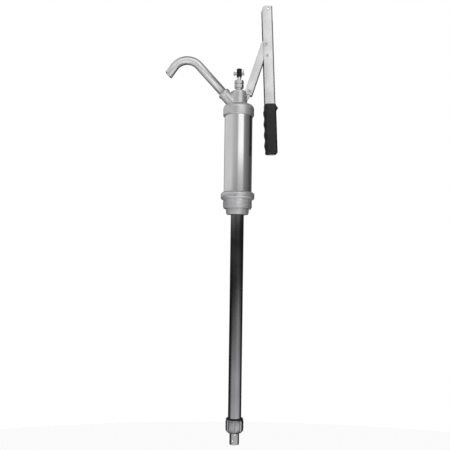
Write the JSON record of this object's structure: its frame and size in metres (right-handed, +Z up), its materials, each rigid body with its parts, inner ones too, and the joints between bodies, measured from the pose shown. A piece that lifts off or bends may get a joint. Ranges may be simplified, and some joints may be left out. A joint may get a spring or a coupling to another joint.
{
  "type": "lever hand pump",
  "caption": "Lever-action hand well or drum pump: barrel with bent spout on a threaded bung base, parked link lever with rubber grip, telescopic suction pipe.",
  "frame": {"origin": "pump axis at the flat seat under the base flange, where the pump rests on the drum or well cover", "axes": "+Z up along the barrel, +X towards the lever, -X towards the spout, Y across the lever's plane"},
  "size_m": [0.2322, 0.069, 0.8977],
  "materials": {
    "barrel_steel": "polished",
    "casting": "as cast, matt",
    "base_casting": "as cast, matt",
    "zinc_ring": "zinc plated",
    "spout_steel": "zinc plated",
    "lever_steel": "bright plated",
    "link_steel": "bright plated",
    "rod_steel": "polished",
    "fastener_steel": "turned",
    "ring_steel": "bright",
    "black_steel": "black oxide",
    "brass": "turned",
    "grip_rubber": "matt",
    "pad_rubber": "matt",
    "seal_rubber": "matt",
    "gasket_fibre": "matt",
    "leather": "oiled",
    "ptfe": "matt",
    "acetal": "matt",
    "upper_tube_steel": "dark bright plate",
    "lower_tube_steel": "bright",
    "nut_steel": "dark plated"
  },
  "bodies": {
    "pump": {"barrel": "barrel_steel", "base": "base_casting", "base_gasket": "gasket_fibre", "bung_adaptor": "zinc_ring", "upper_tube": "upper_tube_steel", "upper_tube_seal": "seal_rubber", "valve_seat": "acetal", "valve_cage": "acetal", "head": "casting", "head_gasket": "gasket_fibre", "spout": "spout_steel", "spout_seal": "seal_rubber", "gland_body": "fastener_steel", "gland_packing": "ptfe", "gland_follower": "brass", "tube_stop_ring": "fastener_steel"},
    "gland_nut_part": {"gland_nut": "fastener_steel"},
    "rod_assembly": {"piston_rod": "rod_steel", "piston_nut": "fastener_steel", "piston_body": "acetal", "piston_cup": "leather", "cup_clamp": "fastener_steel", "rod_spacer": "fastener_steel", "valve_guard": "fastener_steel"},
    "piston_valve": {"piston_valve_disc": "seal_rubber"},
    "foot_valve": {"foot_valve_disc": "seal_rubber"},
    "clevis_assembly": {"clevis": "black_steel", "clevis_pin": "fastener_steel", "split_ring": "ring_steel"},
    "link_assembly": {"link": "link_steel", "fulcrum_rivet": "fastener_steel"},
    "lever_assembly": {"lever": "lever_steel", "lever_rivet": "fastener_steel", "stop_rivet": "fastener_steel", "grip": "grip_rubber", "grip_pad": "pad_rubber"},
    "lock_nut_assembly": {"lock_nut": "nut_steel", "lock_ferrule": "ptfe"},
    "lower_tube_assembly": {"lower_tube": "lower_tube_steel", "lower_tube_bush": "ptfe"}
  },
  "joints": [
    {"name": "rod_slide", "type": "slide", "parent": "pump", "child": "rod_assembly", "axis": [0, 0, 1], "range_m": [0, 0.1]},
    {"name": "clevis_turn", "type": "hinge", "parent": "rod_assembly", "child": "clevis_assembly", "pos_m": [0, 0, 0.2608], "axis": [0, 0, 1], "continuous": true},
    {"name": "link_pivot", "type": "hinge", "parent": "pump", "child": "link_assembly", "pos_m": [0.0213, 0, 0.2233], "axis": [0, -1, 0], "range_deg": [-10, 14]},
    {"name": "lever_pivot", "type": "hinge", "parent": "link_assembly", "child": "lever_assembly", "pos_m": [0.0532, 0, 0.32208], "axis": [0, -1, 0], "range_deg": [0, 162]},
    {"name": "tube_extend", "type": "slide", "parent": "pump", "child": "lower_tube_assembly", "axis": [0, 0, -1], "range_m": [0, 0.365]},
    {"name": "lock_nut_turn", "type": "hinge", "parent": "pump", "child": "lock_nut_assembly", "pos_m": [0, 0, -0.457], "axis": [0, 0, 1], "continuous": true},
    {"name": "gland_nut_turn", "type": "hinge", "parent": "pump", "child": "gland_nut_part", "pos_m": [0, 0, 0.2428], "axis": [0, 0, 1], "continuous": true},
    {"name": "piston_valve_lift", "type": "slide", "parent": "rod_assembly", "child": "piston_valve", "axis": [0, 0, 1], "range_m": [0, 0.0035]},
    {"name": "foot_valve_lift", "type": "slide", "parent": "pump", "child": "foot_valve", "axis": [0, 0, 1], "range_m": [0, 0.0035]}
  ]
}
